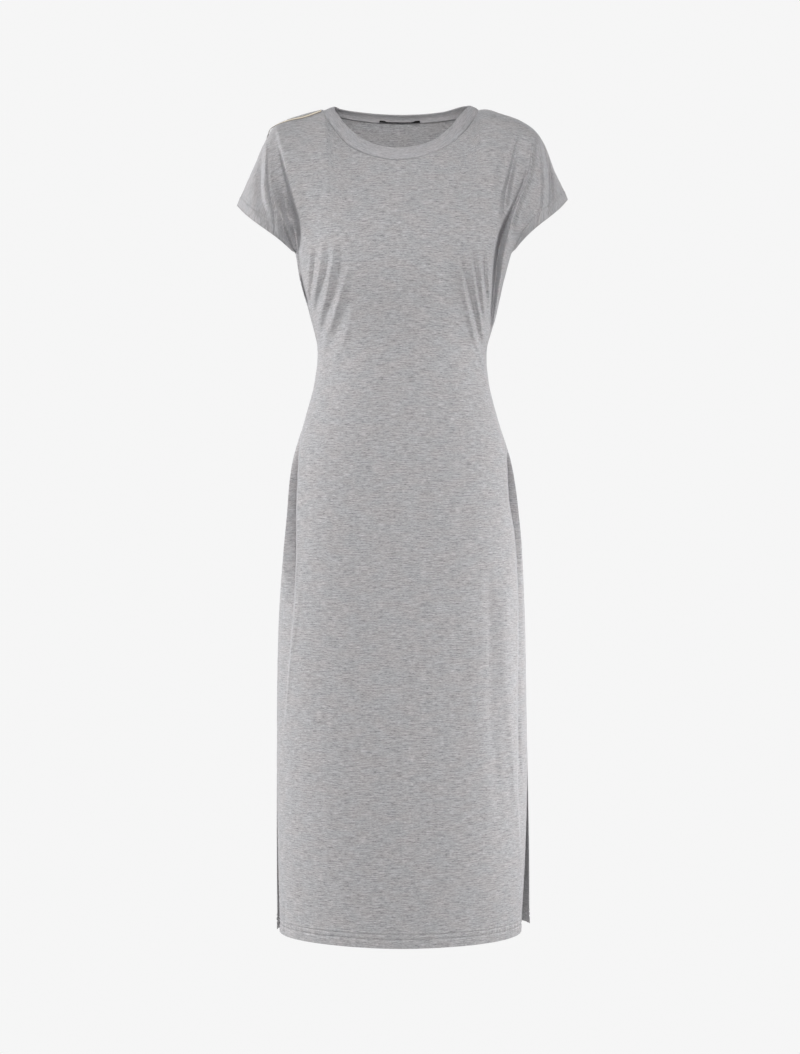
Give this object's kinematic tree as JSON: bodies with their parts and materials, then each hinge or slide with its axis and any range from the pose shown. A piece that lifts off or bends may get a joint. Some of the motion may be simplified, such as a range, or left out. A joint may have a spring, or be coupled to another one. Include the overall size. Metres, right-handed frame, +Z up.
{
  "type": "t-shirt dress",
  "caption": "Midi t-shirt dress in grey melange jersey, hollow as worn, with a round banded neck, cap sleeves, taped shoulder seams and side slits.",
  "frame": {"origin": "midway between the two points where the shoulders meet the neck, where the wearer's shoulders hold the dress", "axes": "+Z up from hem to neck, +Y from the front to the back, +X towards the right of someone facing the front"},
  "size_m": [0.482, 0.2726, 1.1985],
  "materials": {
    "jersey": "matte grey melange single jersey",
    "jersey_band": "matte grey melange jersey, doubled",
    "tape": "cream woven tape with a soft gold sheen",
    "label": "matte black woven strip, bare"
  },
  "bodies": {
    "root": {"front_panel": "jersey", "back_panel": "jersey", "neck_band": "jersey_band", "shoulder_tape_left": "tape", "shoulder_tape_right": "tape", "neck_label": "label"}
  },
  "joints": []
}
